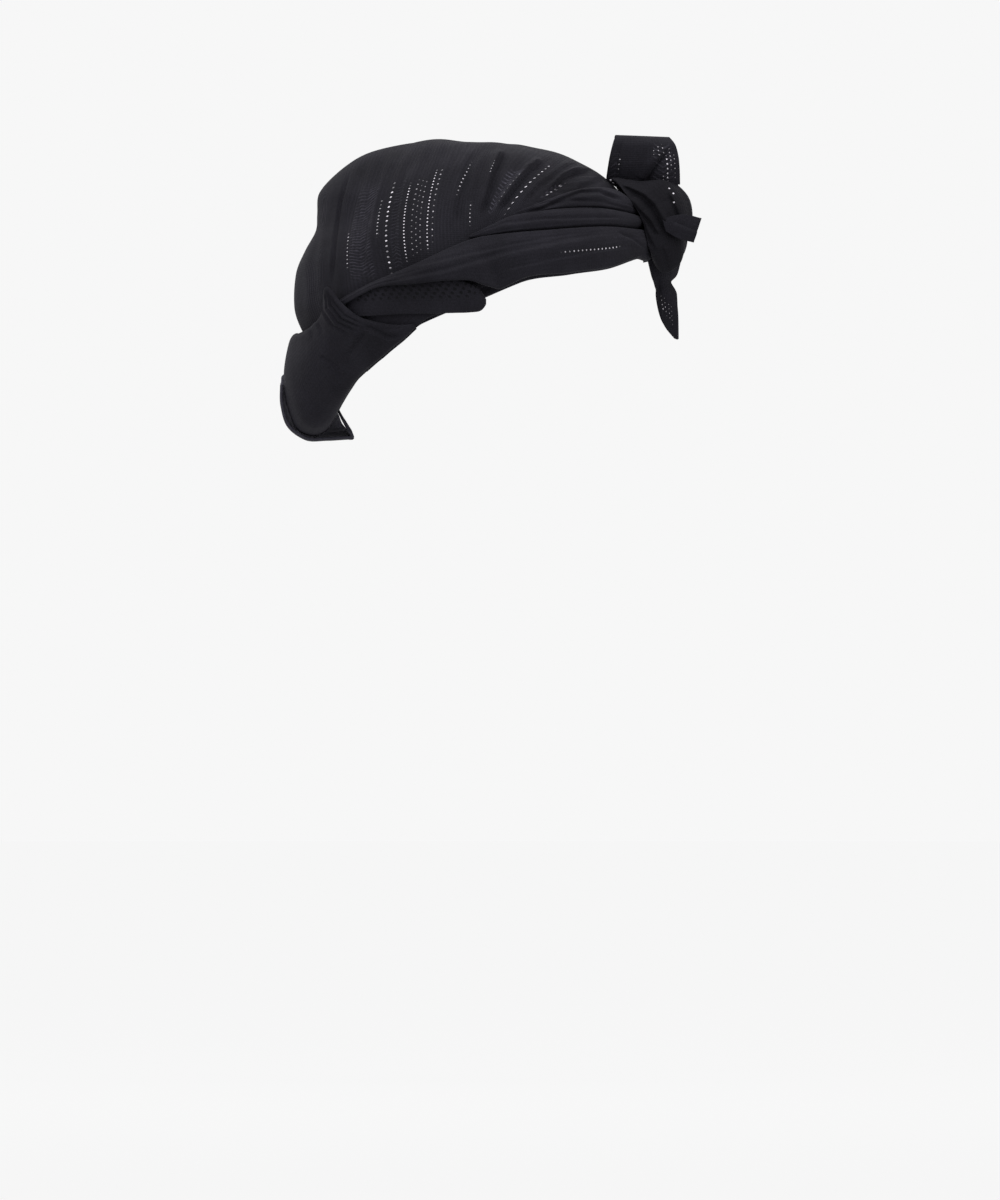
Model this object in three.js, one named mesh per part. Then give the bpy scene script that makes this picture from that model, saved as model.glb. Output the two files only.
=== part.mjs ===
// A black lace-knit durag, wound and tied with a half bow at the forehead.
// Millimetres, +Z up. The wearer looks along -Y and the wearer's right is -X.
// The origin is the inside of the crown at the top of the head.
import * as THREE from "three";

// Driving sizes
const headCentre = { y: 0, z: -75 }; // the middle of the head, straight below the origin
const headTilt = 25; // degrees that the wrap leans back: its rim is high in front, low at the nape
const clothWall = 1.6; // the lace crown
const layerGap = 0.45; // air between two layers of cloth
const tieWall = 1.8; // a single layer of tie

// Distance from the middle of the head to the outside of the crown, by rise above the tilted rim plane.
const crownShape = [
  { rise: -20, front: 84, side: 72.0, back: 88 },
  { rise: -10, front: 86, side: 73.5, back: 91 },
  { rise: 0, front: 88.5, side: 75.0, back: 93 },
  { rise: 10, front: 88, side: 76.5, back: 95 },
  { rise: 20, front: 86, side: 78.0, back: 97.8 },
  { rise: 30, front: 83, side: 79.5, back: 97.2 },
  { rise: 38, front: 81, side: 80.3, back: 94.4 },
  { rise: 45, front: 79.3, side: 80.7, back: 91.8 },
  { rise: 50, front: 78.3, side: 81.0, back: 94.2 },
  { rise: 56, front: 76.8, side: 81.2, back: 98.0 },
  { rise: 63, front: 76.6, side: 81.6, back: 97.0 },
  { rise: 70, front: 77.6, side: 82.5, back: 95.2 },
  { rise: 80, front: 81.5, side: 83.5, back: 89.7 },
  { rise: 90, front: 84.5, side: 84.5, back: 84.5 },
];

// Pleats of the crown, seen from the side: the foot of each, how far it leans forward for each mm up,
// and its cut.
const pleats = [
  { name: "back", footForward: -78, footZ: -70, lean: 0.15, depth: 1.6, halfWidth: 4.0 },
  { name: "middle", footForward: -15, footZ: -43, lean: 0.27, depth: 1.3, halfWidth: 4.5 },
  { name: "fore", footForward: 1.5, footZ: -35, lean: 0.31, depth: 2.2, halfWidth: 5.0 },
  { name: "slant", footForward: 7.5, footZ: -35, lean: 0.86, depth: 2.4, halfWidth: 5.0 },
  { name: "brow", footForward: 33.5, footZ: -24.5, lean: 1.6, depth: 2.0, halfWidth: 4.5 },
];

// The pleats fade towards the middle of the head, over this distance from the middle plane.
const pleatFade = { from: 8, over: 26, least: 0.15 };

const radians = THREE.MathUtils.degToRad;
const clamp = THREE.MathUtils.clamp;

// The rows of a table as objects, from the names of its columns.
function table(columns, ...rows) {
  const names = columns.split(" ");
  return rows.map((row) => Object.fromEntries(names.map((name, k) => [name, row[k]])));
}

// Value of one column of a table at a place between its rows, with smooth slopes that never overshoot.
function along(rows, by, column, at) {
  const last = rows.length - 1;
  if (at <= rows[0][by]) return rows[0][column];
  if (at >= rows[last][by]) return rows[last][column];
  let k = 0;
  while (rows[k + 1][by] < at) k += 1;
  const slope = (i) => (rows[i + 1][column] - rows[i][column]) / (rows[i + 1][by] - rows[i][by]);
  const tangent = (i) => {
    if (i === 0) return slope(0);
    if (i === last) return slope(last - 1);
    const before = slope(i - 1);
    const after = slope(i);
    return before * after <= 0 ? 0 : (2 * before * after) / (before + after);
  };
  const span = rows[k + 1][by] - rows[k][by];
  const t = (at - rows[k][by]) / span;
  const a = rows[k][column];
  const b = rows[k + 1][column];
  return (
    a * (1 + 2 * t) * (1 - t) ** 2 +
    b * t * t * (3 - 2 * t) +
    span * (tangent(k) * t * (1 - t) ** 2 - tangent(k + 1) * t * t * (1 - t))
  );
}

// Places on the head. turn: 0 at the forehead, 90 at the wearer's right, 180 at the back.
// rise: degrees above the rim plane.
function crownRadius(turn, rise) {
  const across = Math.cos(radians(turn));
  const end = along(crownShape, "rise", across > 0 ? "front" : "back", rise);
  const side = along(crownShape, "rise", "side", rise);
  return 1 / Math.sqrt((across / end) ** 2 + (1 - across * across) / side ** 2);
}

function placeOnHead(turn, rise, radius) {
  const flat = radius * Math.cos(radians(rise));
  const forward = flat * Math.cos(radians(turn));
  const up = radius * Math.sin(radians(rise));
  const tilt = radians(headTilt);
  return new THREE.Vector3(
    -flat * Math.sin(radians(turn)),
    headCentre.y - forward * Math.cos(tilt) + up * Math.sin(tilt),
    headCentre.z + forward * Math.sin(tilt) + up * Math.cos(tilt),
  );
}

function pleatCut(turn, rise) {
  const spot = placeOnHead(turn, rise, crownRadius(turn, rise));
  const fadeOverTop = clamp((Math.abs(spot.x) - pleatFade.from) / pleatFade.over, pleatFade.least, 1);
  let cut = 0;
  for (const pleat of pleats) {
    const line = pleat.footForward + pleat.lean * (spot.z - pleat.footZ);
    const offset = (-spot.y - line) / Math.hypot(1, pleat.lean) / pleat.halfWidth;
    cut = Math.max(cut, pleat.depth * Math.exp(-offset * offset));
  }
  return cut * fadeOverTop;
}

// A solid between two layers of points, outer and inner, which are grids of the same size.
// ring joins the last row to the first.
function clothSolid(outer, inner, ring = false) {
  const rows = outer.length;
  const columns = outer[0].length;
  const corners = [];
  const triangles = [];
  const known = new Map();
  const corner = (p) => {
    const key = `${p.x.toFixed(3)},${p.y.toFixed(3)},${p.z.toFixed(3)}`;
    if (!known.has(key)) {
      known.set(key, corners.length / 3);
      corners.push(p.x, p.y, p.z);
    }
    return known.get(key);
  };
  const triangle = (a, b, c) => {
    const ids = [corner(a), corner(b), corner(c)];
    if (new Set(ids).size === 3) triangles.push(...ids);
  };
  const quad = (a, b, c, d) => {
    if (a.distanceToSquared(c) <= b.distanceToSquared(d)) {
      triangle(a, b, c);
      triangle(a, c, d);
    } else {
      triangle(a, b, d);
      triangle(b, c, d);
    }
  };
  const steps = ring ? rows : rows - 1;
  for (let i = 0; i < steps; i += 1) {
    const next = (i + 1) % rows;
    for (let j = 0; j < columns - 1; j += 1) {
      quad(outer[i][j], outer[next][j], outer[next][j + 1], outer[i][j + 1]);
      quad(inner[i][j], inner[i][j + 1], inner[next][j + 1], inner[next][j]);
    }
    const top = columns - 1;
    quad(inner[i][0], inner[next][0], outer[next][0], outer[i][0]);
    quad(outer[i][top], outer[next][top], inner[next][top], inner[i][top]);
  }
  if (!ring) {
    const end = rows - 1;
    for (let j = 0; j < columns - 1; j += 1) {
      quad(inner[0][j], outer[0][j], outer[0][j + 1], inner[0][j + 1]);
      quad(outer[end][j], inner[end][j], inner[end][j + 1], outer[end][j + 1]);
    }
  }
  let volume = 0;
  const at = (id) => new THREE.Vector3(corners[3 * id], corners[3 * id + 1], corners[3 * id + 2]);
  for (let k = 0; k < triangles.length; k += 3) {
    volume += at(triangles[k]).dot(at(triangles[k + 1]).cross(at(triangles[k + 2])));
  }
  if (volume < 0) triangles.reverse();
  const geometry = new THREE.BufferGeometry();
  geometry.setAttribute("position", new THREE.Float32BufferAttribute(corners, 3));
  geometry.setIndex(triangles);
  geometry.computeVertexNormals();
  return geometry;
}

// Places from 0 to 1, closer together towards both ends where edges are rounded.
function edgeSpaced(count) {
  return Array.from({ length: count + 1 }, (_, k) => (1 - Math.cos((Math.PI * k) / count)) / 2);
}

const deepestGroove = 1.4; // of the layer's half thickness

// A roll or layer of cloth that lies on the head. Each row is a section across it at one turn:
// low and high are its edges, seatLow and seatHigh what lies between it and the crown there, and
// thickLow, thickMid, thickHigh its thickness across. Edges are rounded.
function headLayer(rows, { sections, across, mirror = false, folds = [], shape = null }) {
  const first = rows[0].turn;
  const last = rows[rows.length - 1].turn;
  const outer = [];
  const inner = [];
  for (let i = 0; i <= sections; i += 1) {
    const turn = first + ((last - first) * i) / sections;
    const value = (column) => along(rows, "turn", column, turn);
    const outerRow = [];
    const innerRow = [];
    for (const s of edgeSpaced(across)) {
      const rise = value("low") + s * (value("high") - value("low"));
      const body = [
        { s: 0, thick: value("thickLow") },
        { s: 0.5, thick: value("thickMid") },
        { s: 1, thick: value("thickHigh") },
      ];
      const thick = along(body, "s", "thick", s) * (shape ? along(shape, "s", "share", s) : 1);
      const width = radians(value("high") - value("low")) * crownRadius(turn, rise);
      const toEdge = Math.min(s, 1 - s) * width;
      const rounding = Math.sqrt(clamp(1 - (1 - toEdge / (0.5 * thick)) ** 2, 0, 1));
      const half = 0.5 * thick * (toEdge < 0.5 * thick ? rounding : 1);
      const seat = layerGap + value("seatLow") + s * (value("seatHigh") - value("seatLow"));
      let groove = 0;
      for (const fold of folds) {
        groove = Math.max(groove, fold.depth * Math.exp(-(((s - fold.at) / fold.halfWidth) ** 2)));
      }
      const middle = crownRadius(turn, rise) + seat + 0.5 * thick;
      const side = mirror ? 360 - turn : turn;
      const cut = Math.min(groove, half * deepestGroove);
      outerRow.push(placeOnHead(side, rise, middle + half - cut));
      innerRow.push(placeOnHead(side, rise, middle - half));
    }
    outer.push(outerRow);
    inner.push(innerRow);
  }
  return clothSolid(outer, inner);
}

// A free strip of cloth. Each row is a section: its back edge, its fore edge, and cup, how far
// its middle bulges towards the wearer's right.
function ribbon(rows, { across, wall }) {
  const points = rows.map((row) => {
    const back = new THREE.Vector3(row.backX, row.backY, row.backZ);
    const fore = new THREE.Vector3(row.foreX, row.foreY, row.foreZ);
    return Array.from({ length: across + 1 }, (_, j) => {
      const s = j / across;
      const spot = back.clone().lerp(fore, s);
      spot.x -= row.cup * Math.sin(Math.PI * s);
      return spot;
    });
  });
  const normals = points.map((row, i) =>
    row.map((spot, j) => {
      const before = points[Math.max(i - 1, 0)][j];
      const after = points[Math.min(i + 1, points.length - 1)][j];
      const left = row[Math.max(j - 1, 0)];
      const right = row[Math.min(j + 1, row.length - 1)];
      return after.clone().sub(before).cross(right.clone().sub(left)).normalize();
    }),
  );
  const layer = (distance) =>
    points.map((row, i) => row.map((spot, j) => spot.clone().addScaledVector(normals[i][j], distance)));
  return clothSolid(layer(wall / 2), layer(-wall / 2));
}

// Rows of a free strip filled in smoothly between the given ones.
function fillRows(rows, steps) {
  const keyed = rows.map((row, k) => ({ ...row, k }));
  const columns = Object.keys(rows[0]);
  return Array.from({ length: steps + 1 }, (_, i) => {
    const at = (i * (rows.length - 1)) / steps;
    return Object.fromEntries(columns.map((column) => [column, along(keyed, "k", column, at)]));
  });
}

const cloth = { color: 0x1c1b20, roughness: 0.9, metalness: 0 };

function crown() {
  const turns = 60;
  const rings = 16;
  const lowEdge = [
    { turn: 0, rise: -7 },
    { turn: 60, rise: -2 },
    { turn: 100, rise: 2 },
    { turn: 150, rise: -6 },
    { turn: 180, rise: -10 },
  ];
  const outer = [];
  const inner = [];
  for (let i = 0; i < turns; i += 1) {
    const turn = (360 * i) / turns;
    const low = along(lowEdge, "turn", "rise", turn > 180 ? 360 - turn : turn);
    const outerRow = [];
    const innerRow = [];
    for (let j = 0; j <= rings; j += 1) {
      const rise = low + ((90 - low) * j) / rings;
      const radius = crownRadius(turn, rise) - pleatCut(turn, rise);
      outerRow.push(placeOnHead(turn, rise, radius));
      innerRow.push(placeOnHead(turn, rise, radius - clothWall));
    }
    outer.push(outerRow);
    inner.push(innerRow);
  }
  return clothSolid(outer, inner, true);
}

// Columns of the tables below: sections across a layer on the head, and the edges of a free strip.
const section = "turn low high seatLow seatHigh thickLow thickMid thickHigh";
const edges = "backX backY backZ foreX foreY foreZ cup";

// On the right the tie lies in three folds, from under the nape roll to the knot.
const tieFolds = {
  lower: table(
    section,
    [4, -15.2, -4.6, 0, 0, 4.8, 4.6, 3.4],
    [10, -14.4, -4.2, 0, 0, 4.4, 4.9, 3.6],
    [18, -12.8, -3.2, 0, 0, 3.0, 5.2, 3.8],
    [34, -12.5, 1.7, 0, 0, 3.4, 5.6, 3.8],
    [55, -8.5, 8.6, 0, 0, 3.8, 6.2, 3.8],
    [75, -3.1, 15.8, 0, 0, 4.4, 6.4, 3.6],
    [83, -3.2, 18.2, 0.25, 0, 4.6, 6.4, 3.4],
    [88, 0.2, 18.9, 4.15, 0, 4.0, 6.2, 3.4],
    [93, 4.7, 19.2, 4.75, 0, 3.6, 5.6, 3.2],
    [112, 11.7, 18.8, 4.75, 0.15, 2.6, 4.4, 3.0],
    [127, 15.6, 18.4, 4.15, 1.15, 1.8, 2.4, 2.0],
    [143, 14.0, 16.4, 3.95, 2.95, 1.4, 1.8, 1.4],
  ),
  middle: table(
    section,
    [5, -4.0, -1.6, 0, 0, 2.4, 3.0, 2.4],
    [18, -2.5, 2.0, 0, 0, 3.0, 4.2, 3.2],
    [34, 2.4, 8.6, 0, 0, 3.2, 4.6, 3.4],
    [55, 9.3, 16.2, 0, 0, 3.0, 4.4, 3.2],
    [70, 14.8, 20.2, 0, 0, 2.6, 3.6, 2.6],
    [86, 19.6, 20.6, 0, 0, 1.2, 1.4, 1.2],
  ),
  upper: table(
    section,
    [6, -0.9, 4.8, 0, 0, 2.2, 3.2, 2.4],
    [17, 2.4, 11.8, 0, 0, 2.8, 4.0, 2.8],
    [27, 6.8, 15.6, 0, 0, 2.8, 4.0, 2.8],
    [40, 11.8, 18.4, 0, 0, 2.6, 3.6, 2.6],
    [54, 16.6, 19.9, 0, 0, 1.8, 2.4, 2.0],
    [66, 19.8, 21.0, 0, 0, 1.2, 1.4, 1.2],
  ),
};

// The far side is wound in two broad folds that reach the rim.
const farFolds = {
  lower: table(
    section,
    [4, -15.2, -2.4, 0, 0, 4.8, 4.6, 3.2],
    [10, -14.4, -1.8, 0, 0, 4.4, 4.9, 3.4],
    [18, -12.8, -1.0, 0, 0, 3.2, 5.4, 3.6],
    [34, -12.3, 3.0, 0, 0, 3.4, 5.8, 3.8],
    [55, -8.2, 9.0, 0, 0, 3.8, 6.2, 3.8],
    [75, -3.1, 13.0, 0, 0, 4.2, 6.4, 3.6],
    [95, -2.4, 15.6, 0, 0, 3.8, 5.8, 3.2],
    [106, -1.6, 16.6, 0, 0, 2.6, 3.8, 2.8],
    [116, -1.4, 17.2, 0, 0, 1.6, 2.4, 2.2],
    [130, -5.0, 17.4, 0, 0, 1.5, 1.8, 1.6],
    [148, -8.6, 14.0, 0, 0, 1.2, 1.4, 1.2],
  ),
  upper: table(
    section,
    [6, -1.4, 4.8, 0, 0, 2.2, 3.2, 2.4],
    [18, 0.0, 12.0, 0, 0, 3.0, 4.4, 2.8],
    [34, 4.0, 17.0, 0, 0, 3.0, 4.6, 2.8],
    [55, 10.0, 20.0, 0, 0, 2.8, 4.2, 2.6],
    [75, 14.0, 20.8, 0, 0, 2.4, 3.4, 2.4],
    [95, 16.7, 19.6, 0, 0, 1.6, 2.0, 1.6],
    [104, 17.5, 18.6, 0, 0, 1.2, 1.3, 1.2],
  ),
};

// A rounded end of the tie lies free over the right temple, tucked in under the lower fold.
const tuckedEnd = table(
  section,
  [90.6, -4.4, -2.0, 2.75, 1.95, 1.6, 1.8, 1.6],
  [91.6, -6.2, 1.4, 2.85, 1.55, 2.0, 2.8, 2.0],
  [94, -7.4, 4.4, 2.85, 0.95, 2.2, 3.2, 2.0],
  [98, -6.2, 8.2, 2.85, 0.65, 2.2, 3.0, 1.8],
  [103, -4.0, 11.0, 2.85, 0.65, 2.2, 2.6, 1.6],
  [112, 0.0, 14.2, 2.85, 0.65, 2.0, 2.2, 1.6],
  [121, 3.8, 16.0, 2.85, 0.65, 1.8, 1.9, 1.5],
  [130, 6.9, 16.6, 2.75, 0.55, 1.5, 1.6, 1.4],
  [141, 10.4, 15.0, 2.15, 1.75, 1.2, 1.3, 1.2],
);

// Behind the right ear a plain layer lies under the tucked end and under the nape roll.
const underLayer = table(
  section,
  [99, -1.6, 1.4, 0, 0, 1.4, 1.6, 1.4],
  [103, -2.3, 2.6, 0, 0, 1.6, 1.8, 1.4],
  [108, -1.9, 4.2, 0, 0, 1.8, 1.9, 1.4],
  [114, -1.4, 6.2, 0, 0, 1.8, 1.9, 1.4],
  [119, -2.6, 8.0, 0, 0, 1.8, 1.9, 1.4],
  [130, -5.3, 10.8, 0, 0, 1.8, 1.8, 1.4],
  [142, -7.6, 13.0, 0, 0, 1.6, 1.6, 1.4],
  [152, -9.6, 12.0, 0, 0, 1.2, 1.4, 1.2],
);

// The cape is wound into a thick roll across the nape. These rows run from its right tip to the back.
const napeRollHalf = table(
  section,
  [119, -2.3, -1.1, 2.35, 2.35, 1.4, 1.6, 1.4],
  [125, -4.1, 1.4, 2.35, 2.35, 1.8, 2.2, 1.8],
  [132, -5.6, 5.8, 2.35, 2.95, 2.4, 3.2, 2.4],
  [136, -6.5, 9.4, 2.35, 4.35, 2.8, 3.8, 3.0],
  [139, -7.0, 15.8, 2.35, 7.35, 3.2, 4.2, 3.2],
  [142, -7.6, 20.9, 2.35, 7.55, 3.6, 4.8, 3.0],
  [146, -8.3, 18.4, 2.15, 4.15, 4.6, 6.6, 3.2],
  [150, -9.2, 14.6, 2.35, 2.15, 6.4, 9.0, 4.0],
  [155, -11.0, 13.0, 2.15, 0.75, 11.0, 12.0, 5.0],
  [162, -13.4, 11.8, 2.55, 0.15, 17.0, 15.0, 6.0],
  [171, -16.2, 11.6, 4.45, 0.15, 26.4, 18.8, 6.0],
  [180, -17.0, 12.0, 5.85, 0.15, 27.7, 19.9, 6.0],
);

const leftNapeSeat = 2.55; // only one layer lies under its left half

// Grooves between the folds of the roll: place across it, half width and cut.
const napeRollFolds = [
  { at: 0.86, halfWidth: 0.045, depth: 0.9 },
  { at: 0.62, halfWidth: 0.07, depth: 0.9 },
];

// The inner layer of the roll shows behind and below it as a trough with a pointed front corner.
const napeFlapProfile = [
  { s: 0, radius: 115.6, rise: -0.5 },
  { s: 0.14, radius: 120.2, rise: -5.0 },
  { s: 0.3, radius: 123.0, rise: -10.0 },
  { s: 0.47, radius: 120.0, rise: -15.0 },
  { s: 0.66, radius: 112.0, rise: -18.8 },
  { s: 0.88, radius: 102.4, rise: -23.2 },
  { s: 1, radius: 97.6, rise: -15.0 },
];
// How much of that profile each section keeps, counted from its upper end behind the roll, and how far
// it is drawn in and lifted, in mm and degrees, so that it follows the roll.
const napeFlapReach = table(
  "turn reach drawn lifted",
  [177, 0.9, 0.4, 0.2],
  [182, 1, 0, 0],
  [185, 1, 0.4, 0.2],
  [190, 0.83, 1.9, 0.9],
  [196, 0.71, 4.2, 2.4],
  [202, 0.57, 6.6, 4.0],
  [206, 0.44, 7.6, 4.9],
);

// The knot stands on the forehead, above the ends of the folds.
const knotRowsHalf = table(
  section,
  [0, -17.4, 12.8, 6.15, 0.45, 26, 26, 26],
  [5.6, -17.0, 12.4, 6.35, 2.55, 24.3, 24.3, 24.3],
  [8.4, -19.4, 14.4, 6.6, 3.6, 21.3, 21.3, 21.3],
  [11.2, -17.0, 13.4, 6.75, 4.75, 15.5, 15.5, 15.5],
  [15, -10.2, 9.6, 6.95, 5.15, 6, 6, 6],
);
const knotShape = [
  { s: 0, share: 0.56 },
  { s: 0.05, share: 0.7 },
  { s: 0.12, share: 0.73 },
  { s: 0.225, share: 0.78 },
  { s: 0.41, share: 0.96 },
  { s: 0.545, share: 1.0 },
  { s: 0.72, share: 0.92 },
  { s: 0.827, share: 0.45 },
  { s: 1, share: 0.12 },
];

// The bow's one loop stands up from the knot: up the right leaf, over the top, down the left leaf.
const bowLoopRows = table(
  edges,
  [-8, -65.0, -17.2, -9, -103.0, -18.0, 1.0],
  [-12, -65.0, -9, -12, -102.4, -8, 3.0],
  [-11, -68, 0, -11, -100.4, -0.5, 3.0],
  [-5, -70.0, 4.8, -5, -97.5, 3.7, 1.5],
  [3, -70.0, 4.8, 3, -97.5, 3.7, -1.0],
  [9, -68, 0, 9, -100.4, -0.5, -3.0],
  [10, -66.5, -9, 10, -101.6, -8, -3.0],
  [6, -66, -17.2, 7, -102.0, -18.0, -1.0],
);

const shortTailRows = table(
  edges,
  [-24.3, -95.5, -38, -24.1, -97.5, -45, 0.4],
  [-22.6, -104.5, -36, -22.2, -103.5, -48.5, 1.2],
  [-20.2, -113.9, -37.8, -19.2, -109.7, -50, 1.2],
);

const hangingTailRows = table(
  edges,
  [-9, -87.2, -63.4, 5, -103.2, -62.1, 1.5],
  [-8, -88.6, -68, 3, -101.0, -66.4, 1.5],
  [-6, -90.0, -72.4, 1, -97.9, -70.8, 1.0],
  [-4, -90.7, -78, -6, -101.2, -77.6, 1.5],
  [-2, -92.8, -87.5, -9, -101.9, -88, 1.5],
  [-3, -96.0, -94, -8, -101.9, -95, 1.0],
  [-5.5, -100.6, -99.6, -6.5, -101.9, -100.5, 0.2],
);

const group = new THREE.Group();
function add(name, geometry, finish = cloth) {
  const mesh = new THREE.Mesh(geometry, new THREE.MeshStandardMaterial(finish));
  mesh.name = name;
  group.add(mesh);
}

// Both halves of a piece that crosses the middle, from its rows for the right half. The upper edge of
// the left half sits no further out than leftSeat.
function bothSides(half, middleTurn, leftSeat = Infinity) {
  const facing = (row) => {
    const seatHigh = Math.min(row.seatHigh, leftSeat);
    return { ...row, turn: 2 * middleTurn - row.turn, seatHigh };
  };
  const other = half.filter((row) => row.turn !== middleTurn).map(facing);
  return [...half, ...other].sort((a, b) => a.turn - b.turn);
}

function napeFlap() {
  const first = napeFlapReach[0].turn;
  const last = napeFlapReach[napeFlapReach.length - 1].turn;
  const sections = 18;
  const steps = 12;
  const outer = [];
  const inner = [];
  for (let i = 0; i <= sections; i += 1) {
    const turn = first + ((last - first) * i) / sections;
    const value = (column) => along(napeFlapReach, "turn", column, turn);
    const spread = crownRadius(turn, -12) / crownRadius(180, -12);
    const middle = Array.from({ length: steps + 1 }, (_, j) => {
      const s = (value("reach") * j) / steps;
      const radius = along(napeFlapProfile, "s", "radius", s) * spread - value("drawn");
      return placeOnHead(turn, along(napeFlapProfile, "s", "rise", s) + value("lifted"), radius);
    });
    const side = placeOnHead(turn + 90, 0, 1).sub(placeOnHead(turn, 0, 0));
    const layer = (distance) =>
      middle.map((spot, j) => {
        const ahead = middle[Math.min(j + 1, steps)].clone().sub(middle[Math.max(j - 1, 0)]);
        return spot.clone().addScaledVector(ahead.cross(side).normalize(), distance);
      });
    outer.push(layer(tieWall / 2));
    inner.push(layer(-tieWall / 2));
  }
  return clothSolid(outer, inner);
}

add("crown", crown());
add("tie_fold_lower_right", headLayer(tieFolds.lower, { sections: 24, across: 8 }));
add("tie_fold_middle_right", headLayer(tieFolds.middle, { sections: 14, across: 6 }));
add("tie_fold_upper_right", headLayer(tieFolds.upper, { sections: 12, across: 6 }));
add("tie_fold_lower_left", headLayer(farFolds.lower, { sections: 22, across: 8, mirror: true }));
add("tie_fold_upper_left", headLayer(farFolds.upper, { sections: 16, across: 6, mirror: true }));
add("tucked_end", headLayer(tuckedEnd, { sections: 20, across: 6 }));
add("under_layer", headLayer(underLayer, { sections: 12, across: 6 }));
const napeRoll = bothSides(napeRollHalf, 180, leftNapeSeat);
add("nape_roll", headLayer(napeRoll, { sections: 40, across: 12, folds: napeRollFolds }));
add("nape_flap", napeFlap());
add("knot", headLayer(bothSides(knotRowsHalf, 0), { sections: 16, across: 12, shape: knotShape }));
add("bow_loop", ribbon(fillRows(bowLoopRows, 18), { across: 6, wall: tieWall }));
add("short_tail", ribbon(fillRows(shortTailRows, 4), { across: 4, wall: tieWall }));
add("hanging_tail", ribbon(fillRows(hangingTailRows, 12), { across: 4, wall: tieWall }));

export default group;
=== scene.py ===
import math

import bmesh
import bpy
import numpy as np
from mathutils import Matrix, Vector, noise


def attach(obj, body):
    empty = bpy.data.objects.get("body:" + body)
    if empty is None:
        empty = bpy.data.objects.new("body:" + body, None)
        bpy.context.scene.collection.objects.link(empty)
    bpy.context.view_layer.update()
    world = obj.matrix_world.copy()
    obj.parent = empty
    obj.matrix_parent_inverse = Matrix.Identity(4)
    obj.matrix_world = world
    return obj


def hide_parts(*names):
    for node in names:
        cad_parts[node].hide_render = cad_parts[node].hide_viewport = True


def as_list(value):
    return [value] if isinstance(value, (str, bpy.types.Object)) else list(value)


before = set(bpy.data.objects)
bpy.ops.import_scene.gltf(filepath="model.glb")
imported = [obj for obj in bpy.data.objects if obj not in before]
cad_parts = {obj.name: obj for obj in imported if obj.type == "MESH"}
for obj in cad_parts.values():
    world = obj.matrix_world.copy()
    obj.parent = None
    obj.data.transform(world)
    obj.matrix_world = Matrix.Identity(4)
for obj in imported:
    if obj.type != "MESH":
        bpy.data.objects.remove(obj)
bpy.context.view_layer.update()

# A durag of black lace jersey, wound round the head and tied in a half bow at the forehead.
# Sizes are in millimetres, and become metres only where a mesh is written. The wearer looks along -Y,
# and the wrap leans back on the head. turn is 0 at the forehead, 90 at the right ear and 180 at the
# nape, and rise is degrees above the tilted rim. forward and height are the side view's directions.
head = {"centreZ": -75.0, "tilt": 25.0, "gap": 0.45}
wall = {"lace": 1.6, "tie": 1.8, "edge": 1.3}  # of the crown, of the bow and its ends, and of the flap
toMetres = 0.001
weldWithin, sliverWithin = 0.00002, 0.000001  # metres


def table(names, *rows):
    return {name: np.array([row[k] for row in rows], float) for k, name in enumerate(names.split())}


def rowsOf(columns):
    return [dict(zip(columns, row)) for row in zip(*(column.tolist() for column in columns.values()))]


def hermite(a, b, slopeA, slopeB, span, t):
    return (a * (1 + 2 * t) * (1 - t) ** 2 + b * t * t * (3 - 2 * t)
            + span * (slopeA * t * (1 - t) ** 2 - slopeB * t * t * (1 - t)))


def evenSlope(before, after):
    # the slope at a row between two others, flat where they turn
    same = before * after > 0
    return np.where(same, 2 * before * after / np.where(same, before + after, 1), 0)


def along(rows, by, column, at):
    # smooth value between a table's rows, never past them
    x, y = rows[by], rows[column]
    at = np.clip(np.asarray(at, float), x[0], x[-1])
    k = np.clip(np.searchsorted(x, at, side="right") - 1, 0, len(x) - 2)
    step = np.diff(x)
    slope = np.diff(y) / step
    tangent = np.concatenate([slope[:1], evenSlope(slope[:-1], slope[1:]), slope[-1:]])
    return hermite(y[k], y[k + 1], tangent[k], tangent[k + 1], step[k], (at - x[k]) / step[k])


def soften(value, low, high):
    t = np.clip((value - low) / (high - low), 0, 1)
    return t * t * (3 - 2 * t)


crownShape = table(
    "rise front side back",
    (-20, 84, 72.0, 88), (-10, 86, 73.5, 91), (0, 88.5, 75.0, 93), (10, 88, 76.5, 95),
    (20, 86, 78.0, 97.8), (30, 83, 79.5, 97.2), (38, 81, 80.3, 94.4), (45, 79.3, 80.7, 91.8),
    (50, 78.3, 81.0, 94.2), (56, 76.8, 81.2, 98.0), (63, 76.6, 81.6, 97.0), (70, 77.6, 82.5, 95.2),
    (80, 81.5, 83.5, 89.7), (90, 84.5, 84.5, 84.5),
)


def crownRadius(turn, rise):
    across = np.cos(np.radians(turn))
    end = np.where(across > 0, along(crownShape, "rise", "front", rise),
                   along(crownShape, "rise", "back", rise))
    side = along(crownShape, "rise", "side", rise)
    return 1 / np.sqrt((across / end) ** 2 + (1 - across ** 2) / side ** 2)


def placeOnHead(turn, rise, radius):
    turn, rise, tilt = np.radians(turn), np.radians(rise), math.radians(head["tilt"])
    flat, up = radius * np.cos(rise), radius * np.sin(rise)
    forward = flat * np.cos(turn)
    return np.stack([-flat * np.sin(turn),
                     -forward * math.cos(tilt) + up * math.sin(tilt),
                     head["centreZ"] + forward * math.sin(tilt) + up * math.cos(tilt)], axis=-1)


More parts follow.
